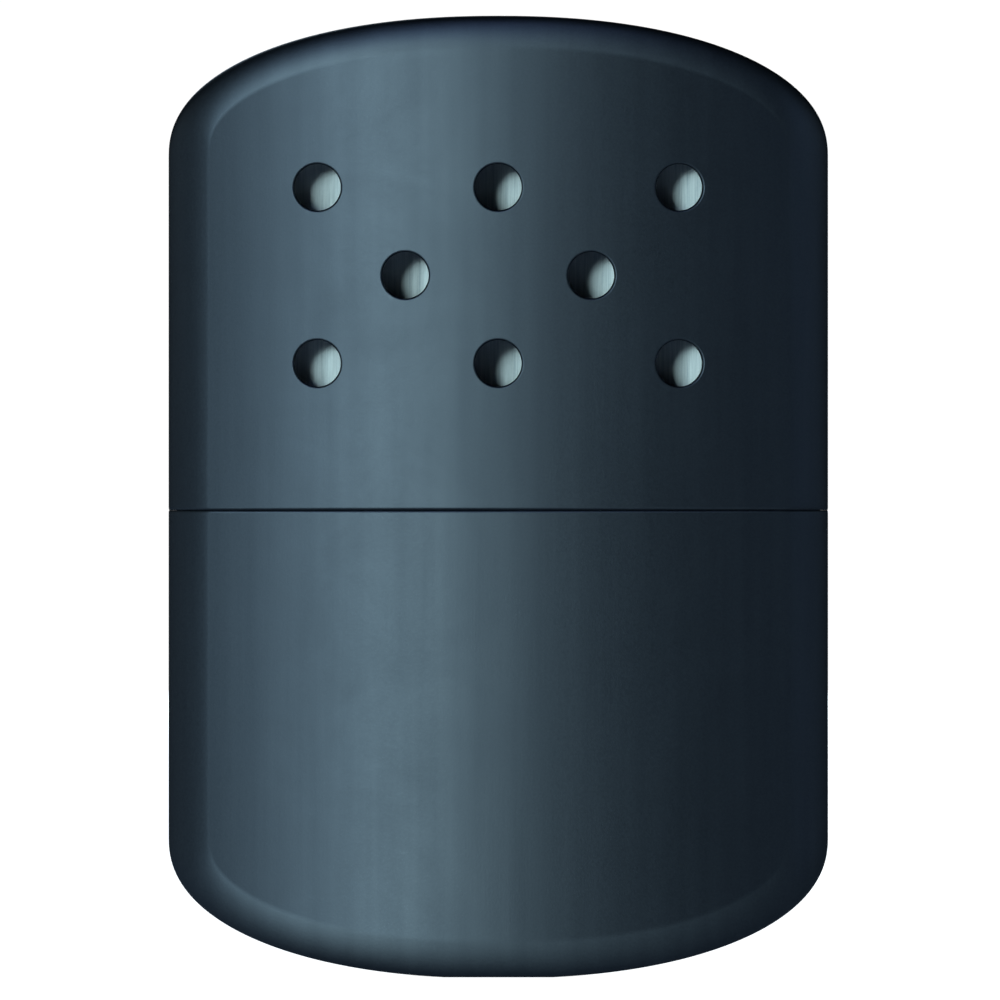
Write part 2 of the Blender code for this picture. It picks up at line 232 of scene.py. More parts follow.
def oblong(halfLength, halfWide, steps=20, straightSteps=24):
    # level outline with round ends
    straight = halfLength - halfWide
    points = []
    for side in (1, -1):
        for i in range(steps + 1):
            angle = math.pi * (i / steps - 0.5)
            x = straight + halfWide * math.cos(angle)
            points.append((side * x, side * halfWide * math.sin(angle)))
        for i in range(1, straightSteps):
            t = i / straightSteps
            points.append((side * straight * (1 - 2 * t), side * halfWide))
    return points


def oblongRing(halfLength, halfWide, z):
    return [(x, y, z) for x, y in oblong(halfLength, halfWide)]


def sweepOblong(bm, halfLength, halfWide, profile):
    # takes a closed profile of (offset, height) pairs round an oblong
    loft(bm, [oblongRing(halfLength + offset, halfWide + offset, z) for offset, z in profile], closed=True)


# The case's form

def faceDepth(x):
    return halfDepth - x * x / (2 * case["crown"])


sideHeight = faceDepth(halfWidth) - case["sideBand"]
topHeight = halfDepth - case["topDepth"] / 2
footHeight = halfDepth - case["footDepth"] / 2


def endPoint(angle, rise):
    power = case["endPower"]
    across = max(math.sin(angle), 0) ** (2 / power)
    up = max(math.cos(angle), 0) ** (2 / power)
    slopeX = across ** (power - 1) / halfWidth
    slopeZ = up ** (power - 1) / rise
    length = math.hypot(slopeX, slopeZ)
    return halfWidth * across, rise * up, slopeX / length, slopeZ / length


footAngle = math.asin((case["footLength"] / 2 / halfWidth) ** (case["endPower"] / 2))
footDrop = endPoint(footAngle, case["footRise"])[1]
shoulder = caseTop - case["topRise"]
lipLow = seamHeight - case["seamGap"] / 2
lipHigh = seamHeight + case["seamGap"] / 2


def edgeAt(x, z, outX, outZ, endReach, endHeight):
    blend = outZ * outZ
    reach = case["sideRoll"] + (endReach - case["sideRoll"]) * blend
    height = sideHeight + (endHeight - sideHeight) * blend
    power = case["sidePower"] + (case["rollPower"] - case["sidePower"]) * blend
    return (x, z, outX, outZ, reach, height, 2 / power)


def tankEdges():
    edges = []
    for i in range(4):
        x = case["footLength"] / 2 * i / 3
        edges.append(edgeAt(x, 0, 0, -1, case["footRoll"], footHeight))
    for i in range(1, case["endSteps"] + 1):
        angle = footAngle + (math.pi / 2 - footAngle) * i / case["endSteps"]
        x, up, outX, outZ = endPoint(angle, case["footRise"])
        edges.append(edgeAt(x, footDrop - up, outX, -outZ, case["footRoll"], footHeight))
    steps = round((lipLow - footDrop) / case["sideStep"])
    for i in range(1, steps + 1):
        z = footDrop + (lipLow - footDrop) * i / steps
        edges.append(edgeAt(halfWidth, z, 1, 0, 0, 0))
    return edges


def lidEdges():
    edges = []
    steps = round((shoulder - lipHigh) / case["sideStep"])
    for i in range(steps):
        z = lipHigh + (shoulder - lipHigh) * i / steps
        edges.append(edgeAt(halfWidth, z, 1, 0, 0, 0))
    for angle in reversed(quarterTurn(case["endSteps"])):
        x, up, outX, outZ = endPoint(angle, case["topRise"])
        edges.append(edgeAt(x, shoulder + up, outX, outZ, case["topRoll"], topHeight))
    return edges


def rowOf(edge):
    # points of the back surface, from the outline in to the middle line
    x0, z0, outX, outZ, reach, height, power = edge
    spineZ = min(max(z0, footDrop), shoulder)
    band = faceDepth(x0) - height
    points = [(x0, band * share, z0) for share in (0, 0.5)]
    for angle in quarterTurn(case["rollSteps"]):
        inward = reach * (1 - math.cos(angle) ** power)
        x = x0 - outX * inward
        depth = faceDepth(x) - height + height * math.sin(angle) ** power
        points.append((x, depth, z0 - outZ * inward))
    lastX, _, lastZ = points[-1]
    for i in range(1, case["faceSteps"] + 1):
        share = i / case["faceSteps"]
        x = lastX * (1 - share)
        points.append((x, faceDepth(x), lastZ + (spineZ - lastZ) * share))
    return points


def shellPiece(name, edges, materials):
    # skin of a quarter, mirrored twice and given its wall, open at the seam
    bm = bmesh.new()
    rows = [[bm.verts.new(point) for point in rowOf(edge)] for edge in edges]
    for first, second in zip(rows, rows[1:]):
        for i in range(len(first) - 1):
            bm.faces.new((first[i], second[i], second[i + 1], first[i + 1]))
    bmesh.ops.remove_doubles(bm, verts=bm.verts, dist=5 * um)
    bmesh.ops.dissolve_degenerate(bm, edges=bm.edges, dist=um)
    bm.normal_update()
    if sum(face.normal.y for face in bm.faces) < 0:
        bmesh.ops.reverse_faces(bm, faces=bm.faces)
    mesh = toMesh(bm, name)
    mesh.shade_smooth()
    for material in materials:
        mesh.materials.append(material)
    piece = linked(name, mesh)
    mirror = piece.modifiers.new("Halves", "MIRROR")
    mirror.use_axis = (True, True, False)
    mirror.merge_threshold = 5 * um
    wall = piece.modifiers.new("Wall", "SOLIDIFY")
    wall.thickness = case["wall"]
    wall.offset = -1
    wall.use_even_offset = True
    wall.material_offset = 1
    wall.material_offset_rim = 1
    return piece


def airHoleCutter():
    # one mesh of eight bores, each flared where it meets the outside of the face
    bm = bmesh.new()
    radius = airHoles["bore"] / 2
    rim = airHoles["rim"]
    profile = [(radius + rim, -case["wall"])]
    for angle in quarterTurn(airHoles["rimSteps"]):
        profile.append((radius + rim * (1 - math.sin(angle)), rim * (1 - math.cos(angle))))
    profile.append((radius, 4 * case["wall"]))
    for row, share in enumerate(airHoles["rowShares"]):
        middle = row == 1
        columns = spread(2, airHoles["middlePitch"]) if middle else spread(3, airHoles["outerPitch"])
        z = seamHeight + share * (caseTop - seamHeight)
        for x in columns:
            outward = Vector((x / case["crown"], -1, 0)).normalized()
            rings = []
            for size, depth in profile:
                ring = []
                for k in range(airHoles["steps"]):
                    angle = 2 * math.pi * k / airHoles["steps"]
                    over = x + size * math.cos(angle)
                    face = Vector((over, -faceDepth(over), z + size * math.sin(angle)))
                    ring.append(face - outward * depth)
                rings.append(ring)
            loft(bm, rings, capped=True)
    mesh = finishMesh(bm, "airHoleCutter")
    mesh.shade_smooth()
    return linked("airHoleCutter", mesh)


def roundLip(mesh, level, inward):
    # rounds the outer edge of a shell's mouth, where inward is 1 if the shell lies above it
    tall = case["lip"]
    bm = bmesh.new()
    bm.from_mesh(mesh)
    bmesh.ops.remove_doubles(bm, verts=bm.verts, dist=0.1 * um)
    for angle in quarterTurn(case["lipSteps"])[:-1]:
        height = tall * (1 - math.sin(angle))
        everything = bm.verts[:] + bm.edges[:] + bm.faces[:]
        place = (0, 0, level + inward * height)
        bmesh.ops.bisect_plane(bm, geom=everything, dist=0.1 * um, plane_co=place, plane_no=(0, 0, 1))
    bm.normal_update()
    moves = []
    for vert in bm.verts:
        height = (vert.co.z - level) * inward
        painted = any(face.material_index == 0 for face in vert.link_faces)
        if painted and height < tall:
            outward = Vector((vert.normal.x, vert.normal.y, 0)).normalized()
            rise = 1 - math.sqrt(max(1 - (1 - height / tall) ** 2, 0))
            inset = case["lipInset"] * (1 - (1 - case["lipAtSide"]) * abs(outward.x))
            moves.append((vert, outward * inset * rise))
    for vert, move in moves:
        vert.co -= move
    bm.to_mesh(mesh)
    bm.free()


def evenNormals(mesh):
    # gives the two crowned faces the shading of one even curve, also round the air holes
    def crownOf(vert):
        x, y, _ = vert.co
        near = abs(abs(y) - faceDepth(x)) < 3 * um
        return Vector((x / case["shadedCrown"], math.copysign(1, y), 0)).normalized() if near else None

    normals = [corner.vector.copy() for corner in mesh.corner_normals]
    for face in mesh.polygons:
        if face.material_index:
            continue
        crowns = [crownOf(mesh.vertices[i]) for i in face.vertices]
        flat = face.normal
        for loop, crown in zip(face.loop_indices, crowns):
            if crown and crown.dot(flat) > 0.9:
                normals[loop] = crown
    mesh.normals_split_custom_set(normals)


def makeShells():
    tank = shellPiece("tank", tankEdges(), [casePaint, bareInside])
    lid = shellPiece("lid", lidEdges(), [casePaint, bareInside])
    cutter = airHoleCutter()
    carve(lid, cutter)
    for piece, body, node in ((tank, "tank", "tank_shell"), (lid, "lid", "lid_shell")):
        name = piece.name
        mesh = settled(piece)
        roundLip(mesh, *((lipLow, -1) if body == "tank" else (lipHigh, 1)))
        evenNormals(mesh)
        made = linked(name, mesh)
        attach(made, body)
        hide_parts(node)
    bpy.data.objects.remove(cutter)


def caseSection(inset, bandSteps=3, rollSteps=10, faceStep=0.0007):
    # level outline of the straight part of the case, moved in by its own normals
    quarter = []
    band = faceDepth(halfWidth) - sideHeight
    for i in range(bandSteps):
        quarter.append((halfWidth, band * (i + 0.5) / bandSteps))
    power = 2 / case["sidePower"]
    for angle in quarterTurn(rollSteps)[1:]:
        x = halfWidth - case["sideRoll"] * (1 - math.cos(angle) ** power)
        quarter.append((x, faceDepth(x) - sideHeight * (1 - math.sin(angle) ** power)))
    lastX = quarter[-1][0]
    faceSteps = round(lastX / faceStep)
    for i in range(1, faceSteps):
        x = lastX * (1 - i / faceSteps)
        quarter.append((x, faceDepth(x)))
    back = quarter + [(0, halfDepth)] + [(-x, y) for x, y in reversed(quarter)]
    outline = back + [(-x, -y) for x, y in back]
    moved = []
    for i, (x, y) in enumerate(outline):
        ahead = Vector(outline[(i + 1) % len(outline)]) - Vector(outline[i - 1])
        ahead.normalize()
        moved.append((x - ahead.y * inset, y + ahead.x * inset))
    return moved


# Effects that several finishes share, as node groups

def makeGroup(name, inputs, outputs):
    group = bpy.data.node_groups.new(name, "ShaderNodeTree")
    for label, kind, value in inputs:
        socket = group.interface.new_socket(name=label, in_out="INPUT", socket_type=kind)
        if value is not None:
            socket.default_value = value
    for label, kind in outputs:
        group.interface.new_socket(name=label, in_out="OUTPUT", socket_type=kind)
    return group, group.nodes.new("NodeGroupInput").outputs, group.nodes.new("NodeGroupOutput").inputs


def feed(tree, socket, value):
    # links another node's output, or sets a plain value
    if isinstance(value, bpy.types.NodeSocket):
        tree.links.new(value, socket)
    elif value is not None:
        socket.default_value = value


def addNode(tree, kind, inputs=None, **settings):
    node = tree.nodes.new(kind)
    for name, value in settings.items():
        setattr(node, name, value)
    for name, value in (inputs or {}).items():
        feed(tree, node.inputs[name], value)
    return node


def mathNode(tree, operation, first, second=None, third=None, clamp=False):
    node = tree.nodes.new("ShaderNodeMath")
    node.operation = operation
    node.use_clamp = clamp
    for socket, value in zip(node.inputs, (first, second, third)):
        feed(tree, socket, value)
    return node.outputs[0]


def rangeNode(tree, value, low, high, toLow=0.0, toHigh=1.0):
    node = addNode(tree, "ShaderNodeMapRange", {
        "Value": value, "From Min": low, "From Max": high, "To Min": toLow, "To Max": toHigh})
    return node.outputs["Result"]


def shareNode(tree, first, share, second):
    rest = mathNode(tree, "MULTIPLY", second, 1 - share)
    return mathNode(tree, "MULTIPLY_ADD", first, share, rest)


def noiseNode(tree, vector, scale, detail=2, roughness=0.5, distortion=0):
    node = addNode(tree, "ShaderNodeTexNoise", {
        "Vector": vector, "Scale": scale, "Detail": detail, "Roughness": roughness,
        "Distortion": distortion})
    return node.outputs["Fac"]


def vectorNode(tree, operation, first, second=None):
    inputs = {0: first} if second is None else {0: first, 1: second}
    return addNode(tree, "ShaderNodeVectorMath", inputs, operation=operation).outputs["Vector"]


def mixColors(tree, factor, first, second, mode="MIX"):
    node = tree.nodes.new("ShaderNodeMix")
    node.data_type = "RGBA"
    node.blend_type = mode
    for place, value in ((0, factor), (6, first), (7, second)):
        plain = isinstance(value, (tuple, list))
        feed(tree, node.inputs[place], (*value, 1) if plain else value)
    return node.outputs[2]


def grainGroup():
    # eggshell speckle: small soft pits with a few larger ones among them
    group, source, target = makeGroup("Grain", [
        ("Vector", "NodeSocketVector", None),
        ("Scale", "NodeSocketFloat", 6000),
        ("Contrast", "NodeSocketFloat", 0.5),
    ], [("Grain", "NodeSocketFloat"), ("Coarse", "NodeSocketFloat")])
    fine = noiseNode(group, source["Vector"], source["Scale"], 3, 0.6)
    wideScale = mathNode(group, "MULTIPLY", source["Scale"], 0.22)
    wide = noiseNode(group, source["Vector"], wideScale)
    centered = mathNode(group, "SUBTRACT", fine, 0.5)
    spreadOut = mathNode(group, "MULTIPLY_ADD", centered, source["Contrast"], 0.5)
    group.links.new(spreadOut, target["Grain"])
    group.links.new(rangeNode(group, wide, 0.3, 0.7), target["Coarse"])
    return group


def brushedGroup():
    # fine lines that run up the object, as thin as one over the pitch
    group, source, target = makeGroup("Brushed lines", [
        ("Vector", "NodeSocketVector", None),
        ("Lines per metre", "NodeSocketFloat", 9000),
        ("Length", "NodeSocketFloat", 0.02),
    ], [("Lines", "NodeSocketFloat"), ("Bands", "NodeSocketFloat")])
    along = mathNode(group, "DIVIDE", 1.0, source["Length"])
    stretch = addNode(group, "ShaderNodeCombineXYZ", {
        "X": source["Lines per metre"], "Y": source["Lines per metre"], "Z": along})
    placed = vectorNode(group, "MULTIPLY", source["Vector"], stretch.outputs[0])
    lines = noiseNode(group, placed, 1, 2, 0.65)
    bands = noiseNode(group, vectorNode(group, "MULTIPLY", placed, (0.11, 0.11, 0.3)), 1)
    group.links.new(rangeNode(group, lines, 0.25, 0.75), target["Lines"])
    group.links.new(rangeNode(group, bands, 0.3, 0.7), target["Bands"])
    return group


def edgeWearGroup():
    # ragged mask along outward edges
    group, source, target = makeGroup("Edge wear", [
        ("Vector", "NodeSocketVector", None),
        ("Start", "NodeSocketFloat", 0.53),
        ("Full", "NodeSocketFloat", 0.6),
        ("Patch scale", "NodeSocketFloat", 900),
        ("Amount", "NodeSocketFloat", 1),
    ], [("Mask", "NodeSocketFloat")])
    geometry = addNode(group, "ShaderNodeNewGeometry")
    patches = noiseNode(group, source["Vector"], source["Patch scale"], 4, 0.65)
    edge = rangeNode(group, geometry.outputs["Pointiness"], source["Start"], source["Full"])
    both = mathNode(group, "MULTIPLY", edge, rangeNode(group, patches, 0.42, 0.6))
    scaled = mathNode(group, "MULTIPLY", both, source["Amount"], clamp=True)
    group.links.new(scaled, target["Mask"])
    return group


def handlingGroup():
    # faint smudges and a few hair scratches from handling
    group, source, target = makeGroup("Handling marks", [
        ("Vector", "NodeSocketVector", None),
        ("Smudge scale", "NodeSocketFloat", 90),
        ("Scratch scale", "NodeSocketFloat", 260),
    ], [("Smudge", "NodeSocketFloat"), ("Scratch", "NodeSocketFloat")])
    smudge = noiseNode(group, source["Vector"], source["Smudge scale"], 5, 0.6, 0.8)
    cells = addNode(group, "ShaderNodeTexVoronoi", {
        "Vector": source["Vector"], "Scale": source["Scratch scale"]},
        feature="DISTANCE_TO_EDGE")
    thin = rangeNode(group, cells.outputs["Distance"], 0.0, 0.012, 1.0, 0.0)
    gate = rangeNode(group, smudge, 0.6, 0.68)
    group.links.new(rangeNode(group, smudge, 0.35, 0.7), target["Smudge"])
    group.links.new(mathNode(group, "MULTIPLY", thin, gate), target["Scratch"])
    return group


def fibreGroup():
    # tangled short fibres, from noise stretched three ways
    group, source, target = makeGroup("Fibres", [
        ("Vector", "NodeSocketVector", None),
        ("Scale", "NodeSocketFloat", 5000),
        ("Stretch", "NodeSocketFloat", 9),
    ], [("Height", "NodeSocketFloat"), ("Shade", "NodeSocketFloat")])
    total = None
    for turn in ((0.4, 0.2, 0.9), (1.3, -0.5, 0.1), (-0.7, 0.8, 2.1)):
        turned = addNode(group, "ShaderNodeVectorRotate", {
            "Vector": source["Vector"], "Rotation": turn}, rotation_type="EULER_XYZ")
        across = mathNode(group, "DIVIDE", source["Scale"], source["Stretch"])
        squeeze = addNode(group, "ShaderNodeCombineXYZ", {
            "X": across, "Y": source["Scale"], "Z": source["Scale"]})
        placed = vectorNode(group, "MULTIPLY", turned.outputs[0], squeeze.outputs[0])
        strand = noiseNode(group, placed, 1, 1, 0.5, 0.6)
        total = strand if total is None else mathNode(group, "MAXIMUM", total, strand)
    tuftScale = mathNode(group, "MULTIPLY", source["Scale"], 0.12)
    tufts = noiseNode(group, source["Vector"], tuftScale, 3)
    group.links.new(rangeNode(group, total, 0.5, 0.8), target["Height"])
    group.links.new(rangeNode(group, tufts, 0.3, 0.7), target["Shade"])
    return group


grain = grainGroup()
brushed = brushedGroup()
edgeWear = edgeWearGroup()
handling = handlingGroup()
fibres = fibreGroup()
print("node groups made")


# Finishes

def newFinish(name):
    material = bpy.data.materials.new(name)
    material.use_nodes = True
    tree = material.node_tree
    shader = tree.nodes["Principled BSDF"]
    place = tree.nodes.new("ShaderNodeTexCoord").outputs["Object"]
    return material, tree, shader, place


def useGroup(tree, group, inputs):
    node = tree.nodes.new("ShaderNodeGroup")
    node.node_tree = group
    for name, value in inputs.items():
        feed(tree, node.inputs[name], value)
    return node.outputs


def addBump(tree, shader, height, distance, below=None):
    bump = addNode(tree, "ShaderNodeBump", {"Height": height, "Distance": distance, "Normal": below})
    tree.links.new(bump.outputs["Normal"], shader.inputs["Normal"])
    return bump.outputs["Normal"]


paintLook = {
    "dark": (0.039, 0.046, 0.053),
    "light": (0.055, 0.064, 0.072),
    "worn": (0.20, 0.22, 0.23),
    "roughness": 0.44,
    "grainScale": 4200,
    "grainDepth": 2.4 * um,
    "grainContrast": 1.6,
    "lineDepth": 0.7 * um,
    "lines": 5200,
    "lineLength": 0.012,
    "wearFrom": (0.62, 0.75),
    "wearShare": 0.1,
}


def makeCasePaint():
    # satin near-black finish with an eggshell grain and faint upright lines
    material, tree, shader, place = newFinish("Dark paint")
    specks = useGroup(tree, grain, {
        "Vector": place, "Scale": paintLook["grainScale"], "Contrast": paintLook["grainContrast"]})
    lines = useGroup(tree, brushed, {
        "Vector": place, "Lines per metre": paintLook["lines"], "Length": paintLook["lineLength"]})
    start, full = paintLook["wearFrom"]
    wear = useGroup(tree, edgeWear, {"Vector": place, "Start": start, "Full": full})
    marks = useGroup(tree, handling, {"Vector": place})
    tone = shareNode(tree, lines["Bands"], 0.35, specks["Grain"])
    painted = mixColors(tree, tone, paintLook["dark"], paintLook["light"])
    rubbed = mathNode(tree, "MULTIPLY", wear["Mask"], paintLook["wearShare"])
    worn = mixColors(tree, rubbed, painted, paintLook["worn"])
    tree.links.new(worn, shader.inputs["Base Color"])
    uneven = mathNode(tree, "MULTIPLY_ADD", specks["Grain"], 0.06, paintLook["roughness"] - 0.03)
    uneven = mathNode(tree, "MULTIPLY_ADD", marks["Smudge"], 0.025, uneven)
    uneven = mathNode(tree, "MULTIPLY_ADD", wear["Mask"], -0.04, uneven)
    tree.links.new(uneven, shader.inputs["Roughness"])
    shader.inputs["Metallic"].default_value = 1
    first = addBump(tree, shader, specks["Grain"], paintLook["grainDepth"])
    addBump(tree, shader, lines["Lines"], paintLook["lineDepth"], below=first)
    return material


insideLook = {
    "dark": (0.25, 0.29, 0.31),
    "light": (0.50, 0.53, 0.54),
    # painted shade: a dark colour for the inside of the pierced face and the sides, where only shade falls
    "dirtAndPaintedShade": (0.10, 0.11, 0.12),
    "paintedShadeFrom": (0.0035, 0.0),
    "roughness": 0.48,
    "lineDepth": 2.5 * um,
    "crownShare": 0.05,     # how far the bare metal shades like the crown, as its grain flattens it
}


def makeBareInside():
    # drawn sheet left bare inside, with upright lines and painted shade on the inside of the pierced face and
    # the sides
    material, tree, shader, place = newFinish("Bare inside")
    lines = useGroup(tree, brushed, {"Vector": place, "Lines per metre": 6500, "Length": 0.006})
    specks = useGroup(tree, grain, {"Vector": place, "Scale": 5200, "Contrast": 1.2})
    tone = shareNode(tree, lines["Lines"], 0.75, specks["Grain"])
    bright = mixColors(tree, tone, insideLook["dark"], insideLook["light"])
    # painted shade: darker towards the front, which keeps the shadows seen through the air holes dark
    depth = addNode(tree, "ShaderNodeSeparateXYZ", {"Vector": place}).outputs["Y"]
    dirtAndPaintedShade = mixColors(tree, rangeNode(tree, depth, *insideLook["paintedShadeFrom"]), bright, insideLook["dirtAndPaintedShade"])
    tree.links.new(dirtAndPaintedShade, shader.inputs["Base Color"])
    uneven = mathNode(tree, "MULTIPLY_ADD", lines["Bands"], 0.1, insideLook["roughness"] - 0.05)
    tree.links.new(uneven, shader.inputs["Roughness"])
    shader.inputs["Metallic"].default_value = 1
    facing = addNode(tree, "ShaderNodeNewGeometry").outputs["Normal"]
    flatter = vectorNode(tree, "MULTIPLY", facing, (insideLook["crownShare"], 1, 1))
    flatter = vectorNode(tree, "NORMALIZE", flatter)
    first = addBump(tree, shader, lines["Lines"], insideLook["lineDepth"], below=flatter)
    addBump(tree, shader, specks["Grain"], 0.8 * um, below=first)
    return material


def makeSteel(name, look):
    # bare sheet steel with drawing lines, smudges and brighter edges
    material, tree, shader, place = newFinish(name)
    lines = useGroup(tree, brushed, {
        "Vector": place, "Lines per metre": look["lines"], "Length": look["lineLength"]})
    specks = useGroup(tree, grain, {"Vector": place, "Scale": 4200, "Contrast": 1.4})
    marks = useGroup(tree, handling, {"Vector": place, "Smudge scale": 160, "Scratch scale": 420})
    wear = useGroup(tree, edgeWear, {"Vector": place, "Start": 0.52, "Full": 0.6})
    tone = shareNode(tree, lines["Lines"], 0.5, specks["Coarse"])
    steel = mixColors(tree, tone, look["dark"], look["light"])
    dirtAndPaintedShade = mixColors(tree, mathNode(tree, "MULTIPLY", marks["Smudge"], look["soil"]), steel, look["soiled"])
    if "tint" in look:
        height = addNode(tree, "ShaderNodeSeparateXYZ", {"Vector": place}).outputs["Z"]
        wander = mathNode(tree, "MULTIPLY_ADD", specks["Coarse"], 0.0012, height)
        warmed = rangeNode(tree, wander, *look["tintFrom"])
        warmed = mathNode(tree, "MULTIPLY", warmed, look["tintShare"])
        dirtAndPaintedShade = mixColors(tree, warmed, dirtAndPaintedShade, look["tint"])
    bright = mixColors(tree, mathNode(tree, "MULTIPLY", wear["Mask"], 0.6), dirtAndPaintedShade, (0.86, 0.87, 0.87))
    tree.links.new(bright, shader.inputs["Base Color"])
    uneven = mathNode(tree, "MULTIPLY_ADD", marks["Smudge"], 0.12, look["roughness"])
    uneven = mathNode(tree, "MULTIPLY_ADD", marks["Scratch"], 0.15, uneven)
    tree.links.new(uneven, shader.inputs["Roughness"])
    shader.inputs["Metallic"].default_value = 1
    first = addBump(tree, shader, lines["Lines"], look["lineDepth"])
    addBump(tree, shader, specks["Coarse"], 1.5 * um, below=first)
    return material


collarLook = {
    "dark": (0.50, 0.52, 0.54), "light": (0.72, 0.73, 0.74), "soiled": (0.34, 0.34, 0.33),
    "soil": 0.35, "roughness": 0.24, "lines": 5200, "lineLength": 0.009, "lineDepth": 0.9 * um,
}

burnerLook = {
    "dark": (0.55, 0.55, 0.54), "light": (0.76, 0.75, 0.73), "soiled": (0.30, 0.28, 0.25),
    "soil": 0.4, "roughness": 0.26, "lines": 4200, "lineLength": 0.004, "lineDepth": 0.8 * um,
    "tint": (0.52, 0.40, 0.24), "tintFrom": (0.0525, 0.0600), "tintShare": 0.55,
}


def makeFibre(name, look):
    # matted fibre, with strands in its colour and its surface
    material, tree, shader, place = newFinish(name)
    strands = useGroup(tree, fibres, {"Vector": place, "Scale": look["scale"], "Stretch": look["stretch"]})
    color = mixColors(tree, strands["Height"], look["dark"], look["light"])
    color = mixColors(tree, mathNode(tree, "MULTIPLY", strands["Shade"], 0.5), color, look["patch"])
    tree.links.new(color, shader.inputs["Base Color"])
    tree.links.new(rangeNode(tree, strands["Height"], 0, 1, 0.98, 0.82), shader.inputs["Roughness"])
    shader.inputs["Sheen Weight"].default_value = 0.3
    shader.inputs["Sheen Roughness"].default_value = 0.5
    addBump(tree, shader, strands["Height"], look["depth"])
    return material


casePaint = makeCasePaint()
bareInside = makeBareInside()
collarSteel = makeSteel("Collar steel", collarLook)
burnerSteel = makeSteel("Burner steel", burnerLook)
wireSteel = makeSteel("Wire steel", {**burnerLook, "roughness": 0.2, "lines": 9000})
cottonFibre = makeFibre("Cotton", {
    "dark": (0.60, 0.57, 0.50), "light": (0.88, 0.86, 0.80), "patch": (0.78, 0.75, 0.66),
    "scale": 2600, "stretch": 9, "depth": 90 * um})
feltFibre = makeFibre("Felt", {
    "dark": (0.44, 0.41, 0.34), "light": (0.76, 0.72, 0.63), "patch": (0.60, 0.56, 0.47),
    "scale": 4200, "stretch": 7, "depth": 50 * um})
glassFibre = makeFibre("Glass fibre", {
    "dark": (0.33, 0.33, 0.32), "light": (0.76, 0.76, 0.74), "patch": (0.47, 0.46, 0.44),
    "scale": 5200, "stretch": 12, "depth": 40 * um})
print("finishes made")

makeShells()
print("tank and lid made")

# Collar: the band that the lid slips over, with four pressed bumps that grip it

collar = {
    "gap": 0.0003,
    "sheet": 0.0005,
    "lead": 0.0007,         # how far its top turns in
    "bumpAcross": 0.0013,   # radius of a grip bump
    "bumpRise": 0.00022,
    "bumpPlaces": (-0.0145, 0.0145),
    "bumpBelowTop": 0.0022,
    "rowStep": 0.00045,
    "turnSteps": 5,
}


def makeCollar():
    low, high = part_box("collar_band")
    outer = case["wall"] + collar["gap"]
    inner = outer + collar["sheet"]
    turn = collar["lead"]
    rows = round((high.z - turn - low.z) / collar["rowStep"])
    profile = [(outer, low.z + (high.z - turn - low.z) * i / rows) for i in range(rows + 1)]
    for angle in quarterTurn(collar["turnSteps"])[1:]:
        profile.append((outer + turn * (1 - math.cos(angle)), high.z - turn + turn * math.sin(angle)))
    inward = turn - collar["sheet"] * 0.5
    for angle in quarterTurn(collar["turnSteps"])[-2::-1]:
        profile.append((inner + inward * (1 - math.cos(angle)), high.z - turn + inward * math.sin(angle)))
    profile += [(inner, low.z + (high.z - turn - low.z) * i / rows) for i in range(rows - 1, -1, -1)]
    bumpZ = high.z - turn - collar["bumpBelowTop"]
    rings = []
    for inset, z in profile:
        ring = []
        for x, y in caseSection(inset):
            lift = 0
            for place in collar["bumpPlaces"]:
                away = math.hypot(x - place, z - bumpZ) / collar["bumpAcross"]
                if away < 1:
                    lift = collar["bumpRise"] * (0.5 + 0.5 * math.cos(math.pi * away))
            ring.append((x, y + math.copysign(lift, y), z))
        rings.append(ring)
    bm = bmesh.new()
    loft(bm, rings, closed=True)
    finishPiece(bm, "collar", collarSteel, "tank", "bare_steel", "collar_band")


# Deck: closes the tank, with a bead pressed round the neck

deck = {"gap": 0.0003, "bead": 0.00028, "beadShare": 0.3, "beadSpread": 0.1, "steps": 26, "around": 360,
        "edge": 60 * um}


def arcPoints(outline, count):
    # the same outline as evenly spaced points, starting on the right
    points = [Vector(p) for p in outline]
    start = max(range(len(points)), key=lambda i: points[i].x - abs(points[i].y) * 1e-3)
    points = points[start:] + points[:start]
    points.append(points[0])
    lengths = [0]
    for a, b in zip(points, points[1:]):
        lengths.append(lengths[-1] + (b - a).length)
    result = []
    place = 0
    for k in range(count):
        want = lengths[-1] * k / count
        while lengths[place + 1] < want:
            place += 1
        t = (want - lengths[place]) / (lengths[place + 1] - lengths[place])
        result.append(points[place].lerp(points[place + 1], t))
    return result


def makeDeck():
    low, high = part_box("tank_deck")
    neckLow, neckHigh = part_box("wick_screen")
    margin = 2 * deck["gap"] + collar["sheet"]
    hole = arcPoints(oblong(neckHigh.x + margin, neckHigh.y + margin, 40, 60), deck["around"])
    rimInset = case["wall"] + collar["gap"] + collar["sheet"] + deck["gap"]
    edge = arcPoints(caseSection(rimInset), deck["around"])
    thick = (high.z - low.z) / 2
    levels = []
    for i in range(deck["steps"] + 1):
        share = i / deck["steps"]
        ridge = math.exp(-((share - deck["beadShare"]) / deck["beadSpread"]) ** 2) * deck["bead"]
        levels.append((share, high.z - thick * 0.25 + ridge - deck["bead"] * 0.5))
    closed = levels + [(share, z - thick * 1.2) for share, z in reversed(levels)]
    bm = bmesh.new()
    rings = []
    for share, z in closed:
        rings.append([(*a.lerp(b, share), z) for a, b in zip(hole, edge)])
    loft(bm, rings, closed=True)
    finishPiece(bm, "deck", collarSteel, "tank", "bare_steel", "tank_deck", bevel=deck["edge"])


# Neck: oblong mouth that the burner plugs over

neck = {"sheet": 0.0005, "flange": 0.0009, "turn": 0.0002}


